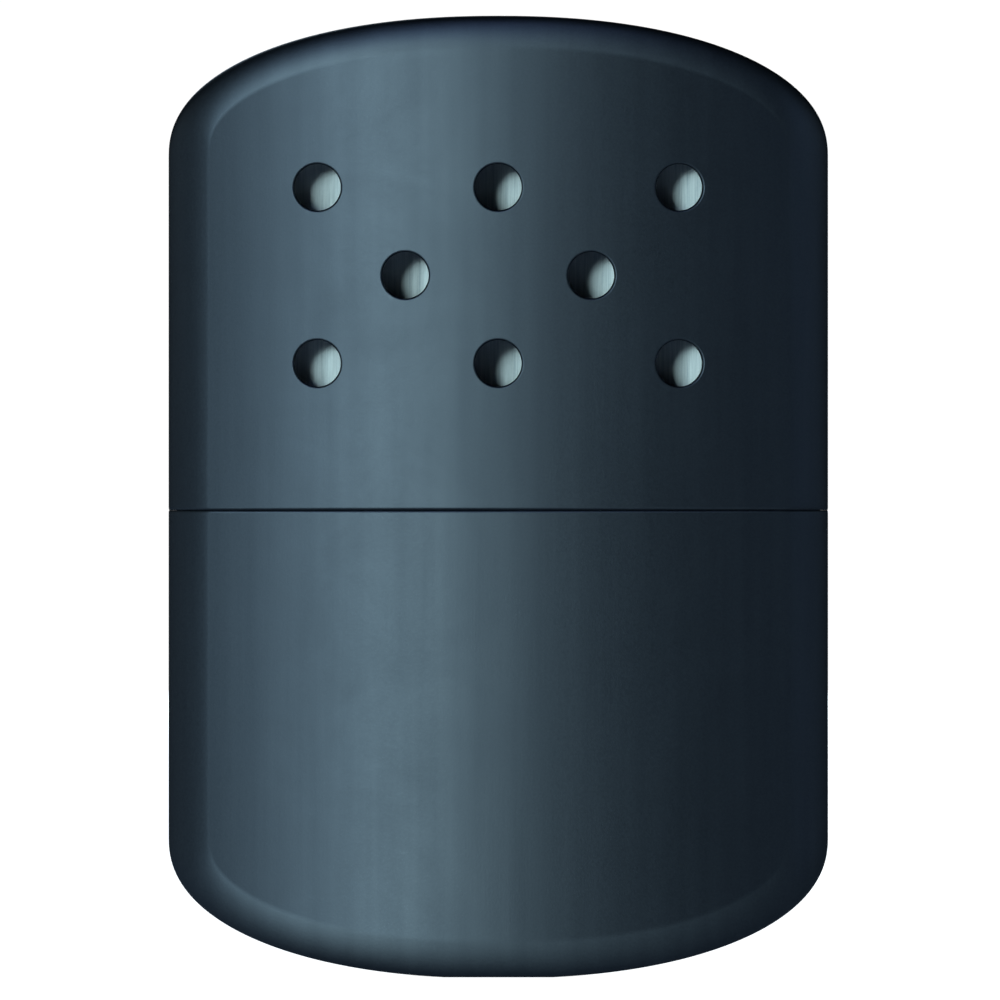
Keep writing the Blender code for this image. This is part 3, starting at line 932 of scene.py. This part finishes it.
def makeNeck():
    low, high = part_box("filler_neck")
    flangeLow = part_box("tank_deck")[1].z + deck["gap"]
    outerX, outerY = high.x - neck["flange"], high.y - neck["flange"]
    flangeHigh = flangeLow + neck["sheet"]
    corners = [
        (0, low.z), (0, flangeLow), (neck["flange"], flangeLow), (neck["flange"], flangeHigh),
        (0, flangeHigh), (0, high.z), (-neck["sheet"], high.z), (-neck["sheet"], low.z),
    ]
    bm = bmesh.new()
    sweepOblong(bm, outerX, outerY, roundCorners(corners, neck["turn"]))
    finishPiece(bm, "neck", collarSteel, "tank", "bare_steel", "filler_neck")


# Wick strip and gauze

strip = {
    "bore": 0.0013 * 0.75,
    "pitch": 0.0021 * 0.85,
    "rows": 3,
    "rowShare": 0.56,       # from row to row, as a share of the strip's half width
    "edge": 0.0011,
    "boreSteps": 20,
    "bevel": 50 * um,
}


def makeWickStrip():
    # flat strip with staggered round holes, from a filled flat curve
    low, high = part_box("wick_screen")
    curve = bpy.data.curves.new("wickStrip", "CURVE")
    curve.dimensions = "2D"
    curve.fill_mode = "BOTH"
    curve.extrude = (high.z - low.z) / 2
    outlines = [oblong(high.x, high.y, 16, 2)]
    radius = strip["bore"] / 2
    for row, y in enumerate(spread(strip["rows"], high.y * strip["rowShare"])):
        count = int((high.x - strip["edge"] - strip["bore"]) / strip["pitch"]) * 2 - row % 2
        for x in spread(count, strip["pitch"]):
            angles = [2 * math.pi * k / strip["boreSteps"] for k in range(strip["boreSteps"])]
            outlines.append([(x + radius * math.cos(a), y + radius * math.sin(a)) for a in angles])
    for outline in outlines:
        spline = curve.splines.new("POLY")
        spline.points.add(len(outline) - 1)
        for point, (x, y) in zip(spline.points, outline):
            point.co = (x, y, 0, 1)
        spline.use_cyclic_u = True
    bm = bmesh.new()
    bm.from_mesh(settled(linked("wickStrip", curve)))
    bmesh.ops.translate(bm, vec=(0, 0, (low.z + high.z) / 2), verts=bm.verts)
    finishPiece(bm, "wickStrip", collarSteel, "tank", "bare_steel", "wick_screen", bevel=strip["bevel"])


gauze = {"pitch": 0.00062, "wire": 0.00009, "wireSides": 5, "wave": 0.0001, "rimWide": 0.0008}


def makeGauze():
    # woven wire in a pressed rim
    low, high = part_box("burner_gauze")
    middle = (low.z + high.z) / 2
    halfX = high.x - gauze["rimWide"] * 0.5
    halfY = high.y - gauze["rimWide"] * 0.5
    pitch, wave = gauze["pitch"], gauze["wave"]
    bm = bmesh.new()
    straight = halfX - halfY

    def chord(past):
        return math.sqrt(max(halfY ** 2 - past ** 2, 0))

    def addWire(number, place, reach, across):
        # one wire that goes over and under those of the other direction
        steps = max(int(4 * reach / pitch), 2)
        line = []
        for k in range(steps + 1):
            along = reach * (2 * k / steps - 1)
            swing = wave * math.cos(math.pi * (along / pitch + number))
            line.append((place, along, middle + swing) if across else (along, place, middle - swing))
        tube(bm, line, gauze["wire"], sides=gauze["wireSides"])

    for i, x in enumerate(spread(int(2 * halfX / pitch), pitch)):
        reach = chord(max(abs(x) - straight, 0))
        if reach >= pitch:
            addWire(i, x, reach, True)
    for i, y in enumerate(spread(int(2 * halfY / pitch), pitch)):
        addWire(i, y, straight + chord(y), False)
    half = (high.z - low.z) / 2
    wide = gauze["rimWide"]
    corners = [(0, -half), (0, half), (-wide, half), (-wide, -half)]
    rim = [(offset, middle + z) for offset, z in roundCorners(corners, wide * 0.25, 3)]
    sweepOblong(bm, high.x, high.y, rim)
    finishPiece(bm, "gauze", wireSteel, "burner", "burner_steel", "burner_gauze")


# Burner skirt and cage

burner = {
    "sheet": 0.0005,
    "beadRise": 0.00025,
    "beadHeight": 0.0035,
    "corner": 0.0008,
    "cornerSteps": 6,
    "windowWide": 0.0028,
    "windowTall": 0.0042,
    "windowPitch": 0.0048,
    "windowSill": 0.0013,
    "windowCount": 6,
    "topSlotWide": 0.0024,
    "topSlotLong": 0.005,
    "edge": 60 * um,
}


def makeSkirt():
    low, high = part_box("burner_skirt")
    baseX, baseY = high.x - burner["beadRise"], high.y - burner["beadRise"]
    bead = low.z + burner["beadHeight"]
    spreadZ = burner["sheet"]
    outside = [(0, low.z)]
    for i in range(13):
        t = i / 12 * 2 - 1
        outside.append((burner["beadRise"] * (0.5 + 0.5 * math.cos(math.pi * t)), bead + t * spreadZ))
    outside.append((0, high.z))
    inside = [(offset - burner["sheet"], z) for offset, z in reversed(outside)]
    bm = bmesh.new()
    sweepOblong(bm, baseX, baseY, outside + inside)
    finishPiece(bm, "burnerSleeve", burnerSteel, "burner", "burner_steel", "burner_skirt",
                bevel=burner["edge"])


def slotShape(bm, place, wide, long, depth, axis):
    # a round-ended cutter, long along the second direction of its axis pair
    outline = oblong(long / 2, wide / 2, 12, 2)
    rings = []
    for side in (-1, 1):
        if axis == "Y":
            ring = [(place[0] + y, side * depth, place[2] + x) for x, y in outline]
        else:
            ring = [(place[0] + y, x, place[2] + side * depth) for x, y in outline]
        rings.append(ring)
    loft(bm, rings, capped=True)


def makeCage():
    low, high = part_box("burner_cage")
    corner, sheet = burner["corner"], burner["sheet"]
    roof = high.z - sheet
    inner = max(corner - sheet, sheet / 2)
    outside = [oblongRing(high.x, high.y, low.z)]
    for angle in quarterTurn(burner["cornerSteps"]):
        offset = corner * (math.cos(angle) - 1)
        z = high.z - corner + corner * math.sin(angle)
        outside.append(oblongRing(high.x + offset, high.y + offset, z))
    width = high.y - corner
    for share in (0.66, 0.33):
        outside.append(oblongRing(high.x - corner - width * (1 - share), width * share, high.z))
    width = high.y - sheet - inner
    length = high.x - sheet - inner
    inside = [oblongRing(length - width * (1 - share), width * share, roof) for share in (0.33, 0.66)]
    for angle in reversed(quarterTurn(burner["cornerSteps"])):
        offset = inner * (math.cos(angle) - 1) - sheet
        inside.append(oblongRing(high.x + offset, high.y + offset, roof - inner + inner * math.sin(angle)))
    inside.append(oblongRing(high.x - sheet, high.y - sheet, low.z))
    bm = bmesh.new()
    outside, inside = [[[bm.verts.new(p) for p in ring] for ring in rings] for rings in (outside, inside)]
    chain = [inside[-1]] + outside
    for first, second in list(zip(chain, chain[1:])) + list(zip(inside, inside[1:])):
        for i in range(len(first)):
            j = (i + 1) % len(first)
            bm.faces.new((first[i], first[j], second[j], second[i]))
    bm.faces.new(outside[-1])
    bm.faces.new(reversed(inside[0]))
    cage = linked("cageRaw", finishMesh(bm, "cage"))
    windows, slots = bmesh.new(), bmesh.new()
    sill = low.z + burner["windowSill"] + burner["windowTall"] / 2
    slotWide, slotLong = burner["topSlotWide"], burner["topSlotLong"]
    for x in spread(burner["windowCount"], burner["windowPitch"]):
        slotShape(windows, (x, 0, sill), burner["windowWide"], burner["windowTall"], 3 * high.y, "Y")
        slotShape(slots, (x, 0, high.z - sheet / 2), slotWide, slotLong, 2 * sheet, "Z")
    cutters = [linked("windowCutter", finishMesh(windows, "windowCutter")),
               linked("slotCutter", finishMesh(slots, "slotCutter"))]
    for cutter in cutters:
        carve(cage, cutter)
    mesh = settled(cage)
    for cutter in cutters:
        bpy.data.objects.remove(cutter)
    makeObject("burnerCage", mesh, burnerSteel, "burner", "burner_steel", "burner_cage",
               bevel=burner["edge"])


# Wires

wires = {"bend": 0.0009, "steps": 6}


def makeWires():
    for name, node in (("stapleLeft", "mat_wire_left"), ("stapleRight", "mat_wire_right")):
        low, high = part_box(node)
        radius = (high.x - low.x) / 2
        x = (low.x + high.x) / 2
        half = high.y - radius
        top = high.z - radius
        line = [(x, -half, low.z + radius * 0.5), (x, -half, (low.z + top) / 2)]
        for side in (-1, 1):
            for angle in quarterTurn(wires["steps"]):
                turn = angle if side < 0 else math.pi / 2 - angle
                y = side * (half - wires["bend"] + wires["bend"] * math.cos(turn))
                line.append((x, y, top - wires["bend"] + wires["bend"] * math.sin(turn)))
        line += [(x, half, (low.z + top) / 2), (x, half, low.z + radius * 0.5)]
        bm = bmesh.new()
        tube(bm, line, radius * 0.96, sides=14)
        finishPiece(bm, name, wireSteel, "burner", "burner_steel", node, keepFlat=60)


# Soft pieces: the solid's space, remeshed, with a matted surface and loose fibres

fibre = {"points": 7, "flatness": 0.95, "curl": 0.5, "shortest": 0.4}

wadding = {
    "body": "tank", "slot": "cotton", "voxel": 0.00075, "depth": 0.0006, "scale": 420,
    "fibres": 260, "length": 0.0035, "thick": 16 * um, "fill": 0.7,
}

soft = {
    "waddingLower": {**wadding, "node": "wadding_lower"},
    "waddingMiddle": {**wadding, "node": "wadding_middle"},
    "waddingUpper": {**wadding, "node": "wadding_upper"},
    "wickPad": {
        "node": "neck_wick", "body": "tank", "slot": "felt", "voxel": 0.0004, "depth": 0.00022,
        "scale": 900, "fibres": 240, "length": 0.0018, "thick": 12 * um, "fill": 0.9},
    "glassMat": {
        "node": "catalyst_mat", "body": "burner", "slot": "glass_fibre", "voxel": 0.00032,
        "depth": 0.0003, "scale": 1100, "fibres": 1100, "length": 0.0032, "thick": 13 * um, "fill": 0.8},
}


def makeSoft(name, kind, material):
    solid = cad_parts[kind["node"]].data
    surface = BVHTree.FromPolygons([v.co for v in solid.vertices], [p.vertices for p in solid.polygons])
    copy = linked(name + "Raw", solid.copy())
    remesh = copy.modifiers.new("Remesh", "REMESH")
    remesh.mode = "VOXEL"
    remesh.voxel_size = kind["voxel"]
    mesh = settled(copy)
    mesh.materials.clear()
    bm = bmesh.new()
    bm.from_mesh(mesh)
    bmesh.ops.smooth_vert(bm, verts=bm.verts, factor=0.5, use_axis_x=True, use_axis_y=True, use_axis_z=True)
    bm.normal_update()
    spots = []
    for vert in bm.verts:
        lump = 0.5 + 0.5 * noise.fractal(vert.co * kind["scale"], 0.6, 2.0, 3)
        vert.co -= vert.normal * kind["depth"] * min(max(lump, 0), 1)
    bm.normal_update()
    candidates = list(bm.verts)
    for _ in range(kind["fibres"]):
        vert = random.choice(candidates)
        spots.append((vert.co.copy(), vert.normal.copy()))
    for start, normal in spots:
        heading = Vector([random.uniform(-1, 1) for _ in range(3)])
        heading = (heading - normal * heading.dot(normal) * fibre["flatness"]).normalized()
        curl = normal.cross(heading) * random.uniform(-fibre["curl"], fibre["curl"])
        length = kind["length"] * random.uniform(fibre["shortest"], 1)
        inner = start - normal * kind["depth"]      # each point is kept within sight of this one
        line = []
        for i in range(fibre["points"]):
            t = i / (fibre["points"] - 1)
            lift = math.sin(math.pi * t) * kind["depth"] * random.uniform(0.5, 1.0)
            point = start + heading * length * t + curl * length * t * t
            point += normal * (lift - kind["depth"] * 0.1)
            way = point - inner
            reach = way.length
            way.normalize()
            hit = surface.ray_cast(inner, way, reach + 2 * kind["thick"])[3]
            line.append(point if hit is None else inner + way * max(hit - 2 * kind["thick"], 0))
        tube(bm, line, kind["thick"] * random.uniform(0.7, 1.2), sides=4)
    mesh = toMesh(bm, name)
    piece = makeObject(name, mesh, material, kind["body"], kind["slot"], kind["node"], keepFlat=180)


makeCollar()
makeDeck()
makeNeck()
makeWickStrip()
print("collar, deck and neck made")
makeSkirt()
makeGauze()
makeCage()
makeWires()
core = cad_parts["mat_core"]
core.data.materials.clear()
core.data.materials.append(wireSteel)
print("burner made")
for softName, softKind in soft.items():
    finish = {"cotton": cottonFibre, "felt": feltFibre, "glass_fibre": glassFibre}[softKind["slot"]]
    makeSoft(softName, softKind, finish)
print("wadding, wick and mat made")


# Floor, lights and camera

studio = {
    "aimHeight": 0.04874,    # level of the lens
    "aimX": 0.00017,
    "distance": 2.0,
    "frameWide": 0.1024,     # what the picture takes in at the case's middle
    "floorGap": 0.00002,
    "floorColor": (0.80, 0.81, 0.82),
    "worldColor": (0.60, 0.80, 1.0),
    "worldForLight": 0.004,
    "glow": 0.35,           # painted glow: light that the floor gives off in front and to the left, in place of light bounced off it
    "glowColor": (0.50, 0.72, 1.0),
    "glowPlace": (-0.17, -0.17, 0),
    "glowFrom": (0.3, 0.05),
}


def makeFloor():
    bm = bmesh.new()
    bmesh.ops.create_grid(bm, x_segments=8, y_segments=8, size=3)
    mesh = toMesh(bm, "floor")
    material, tree, shader, place = newFinish("Pale floor")
    specks = useGroup(tree, grain, {"Vector": place, "Scale": 300, "Contrast": 0.4})
    pale = studio["floorColor"]
    mottled = mixColors(tree, specks["Grain"], pale, [c * 0.97 for c in pale])
    tree.links.new(mottled, shader.inputs["Base Color"])
    shader.inputs["Roughness"].default_value = 0.9
    # painted glow: for rays other than the camera's the floor shines bluish near the case's front left and
    # lights it like a lamp, while the camera sees it evenly white
    seen = tree.nodes.new("ShaderNodeLightPath").outputs["Is Camera Ray"]
    tint = mixColors(tree, seen, studio["glowColor"], (1, 1, 1))
    tree.links.new(tint, shader.inputs["Emission Color"])
    away = addNode(tree, "ShaderNodeVectorMath", {
        0: place, 1: studio["glowPlace"]}, operation="DISTANCE").outputs["Value"]
    glow = rangeNode(tree, away, *studio["glowFrom"], 0.0, studio["glow"])
    tree.links.new(mathNode(tree, "MAXIMUM", seen, glow), shader.inputs["Emission Strength"])
    mesh.materials.append(material)
    floor = linked("floor", mesh)
    floor.location.z = cadLow.z - studio["floorGap"]


def makeWorld():
    world = bpy.data.worlds.new("Studio")
    bpy.context.scene.world = world
    world.use_nodes = True
    tree = world.node_tree
    tree.nodes.clear()
    seen = tree.nodes.new("ShaderNodeLightPath").outputs["Is Camera Ray"]
    dim = addNode(tree, "ShaderNodeBackground", {
        "Color": (*studio["worldColor"], 1), "Strength": studio["worldForLight"]})
    white = addNode(tree, "ShaderNodeBackground", {"Color": (1, 1, 1, 1), "Strength": 1.05})
    mix = addNode(tree, "ShaderNodeMixShader", {0: seen, 1: dim.outputs[0], 2: white.outputs[0]})
    target = tree.nodes.new("ShaderNodeOutputWorld")
    tree.links.new(mix.outputs[0], target.inputs["Surface"])


lights = {
    # azimuth and elevation in degrees seen from the middle of the lid, distance, width, height, power
    "Key": (-15, 3.6, 3.0, 0.6, 0.2, 40.0, (0.74, 0.98, 1.0)),
    "Key left": (-26, 4.5, 3.0, 0.3, 0.2, 10.0, (0.45, 0.69, 1.0)),
    "Upper": (-10, 24, 1.0, 0.25, 0.15, 1.2, (0.34, 0.52, 1.0)),
    "Top": (0, 45, 0.8, 0.3, 0.15, 0.3, (0.35, 0.45, 1.0)),
    "Left": (-80, 10, 0.6, 0.2, 0.3, 0.1, (0.8, 0.92, 1.0)),
    "Right": (80, 10, 0.6, 0.2, 0.3, 0.035, (0.9, 1.0, 0.9)),
    "Right front": (60, 10, 0.8, 0.2, 0.3, 0.3, (0.45, 0.65, 1.0)),
    "Back": (168, 4, 3.0, 0.5, 0.4, 30.0, (0.71, 0.91, 1.0)),
    "Back right": (150, 4, 3.0, 0.8, 0.4, 14.0, (0.6, 0.8, 1.0)),
    "Behind and above": (206, 36, 1.5, 0.8, 0.5, 2.8, (0.6, 0.8, 1.0)),
}


def makeLights():
    aim = Vector((0, 0, (seamHeight + caseTop) / 2))
    for name, (azimuth, elevation, distance, wide, tall, power, color) in lights.items():
        data = bpy.data.lights.new(name, "AREA")
        data.shape = "RECTANGLE"
        data.size = wide
        data.size_y = tall
        data.energy = power
        data.color = color
        lamp = linked(name, data)
        a, e = math.radians(azimuth), math.radians(elevation)
        away = Vector((math.sin(a) * math.cos(e), -math.cos(a) * math.cos(e), math.sin(e)))
        lamp.location = aim + away * distance
        lamp.rotation_mode = "QUATERNION"
        lamp.rotation_quaternion = away.to_track_quat("Z", "Y")
        lamp.visible_camera = False


def makeCamera():
    data = bpy.data.cameras.new("Camera")
    data.sensor_width = 36
    data.lens = 36 * studio["distance"] / studio["frameWide"]
    camera = linked("Camera", data)
    camera.location = (studio["aimX"], -studio["distance"], studio["aimHeight"])
    camera.rotation_euler = (math.pi / 2, 0, 0)
    data.clip_start, data.clip_end = 0.01, 20
    bpy.context.scene.camera = camera


makeFloor()
makeWorld()
makeLights()
makeCamera()
bpy.context.scene.view_settings.view_transform = "Standard"
print("studio made")

print("box of the solids", [round((b - a) * 1000, 2) for a, b in zip(cadLow, cadHigh)], "mm")
